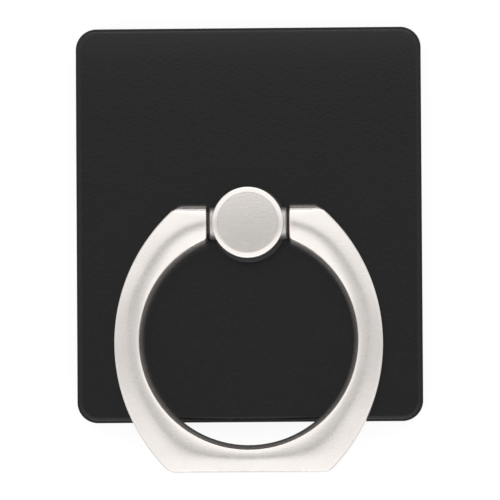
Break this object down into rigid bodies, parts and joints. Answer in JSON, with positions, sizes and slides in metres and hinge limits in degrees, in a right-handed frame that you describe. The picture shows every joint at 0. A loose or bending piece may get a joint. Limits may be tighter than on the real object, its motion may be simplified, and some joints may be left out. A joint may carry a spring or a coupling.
{
  "type": "phone grip",
  "caption": "Adhesive phone grip: flat black plate with a swivelling metal hub and a folding finger ring that also props the phone up.",
  "frame": {"origin": "on the swivel axis, in the middle of the adhesive pad's back face", "axes": "+Z out of the plate's face along the swivel axis, +X along the hinge pin, +Y from the folded ring's foot towards the hub"},
  "size_m": [0.035, 0.0451, 0.0075],
  "materials": {
    "plate_black": "satin",
    "foam": "matte",
    "nylon": "satin",
    "satin_nickel": "satin",
    "steel": "satin",
    "bronze": "satin"
  },
  "bodies": {
    "base": {"base_plate": "plate_black", "adhesive_pad": "foam", "swivel_washer": "nylon"},
    "turret": {"swivel_hub": "satin_nickel", "hub_cap": "satin_nickel", "spring_washer": "steel", "retaining_washer": "steel", "friction_washer_left": "bronze", "friction_washer_right": "bronze"},
    "ring": {"finger_ring": "satin_nickel", "hinge_pin": "steel"}
  },
  "joints": [
    {"name": "swivel", "type": "hinge", "parent": "base", "child": "turret", "pos_m": [0, 0, 0], "axis": [0, 0, 1], "continuous": true},
    {"name": "ring_tilt", "type": "hinge", "parent": "turret", "child": "ring", "pos_m": [0, 0, 0.005], "axis": [-1, 0, 0], "range_deg": [0, 180]}
  ]
}
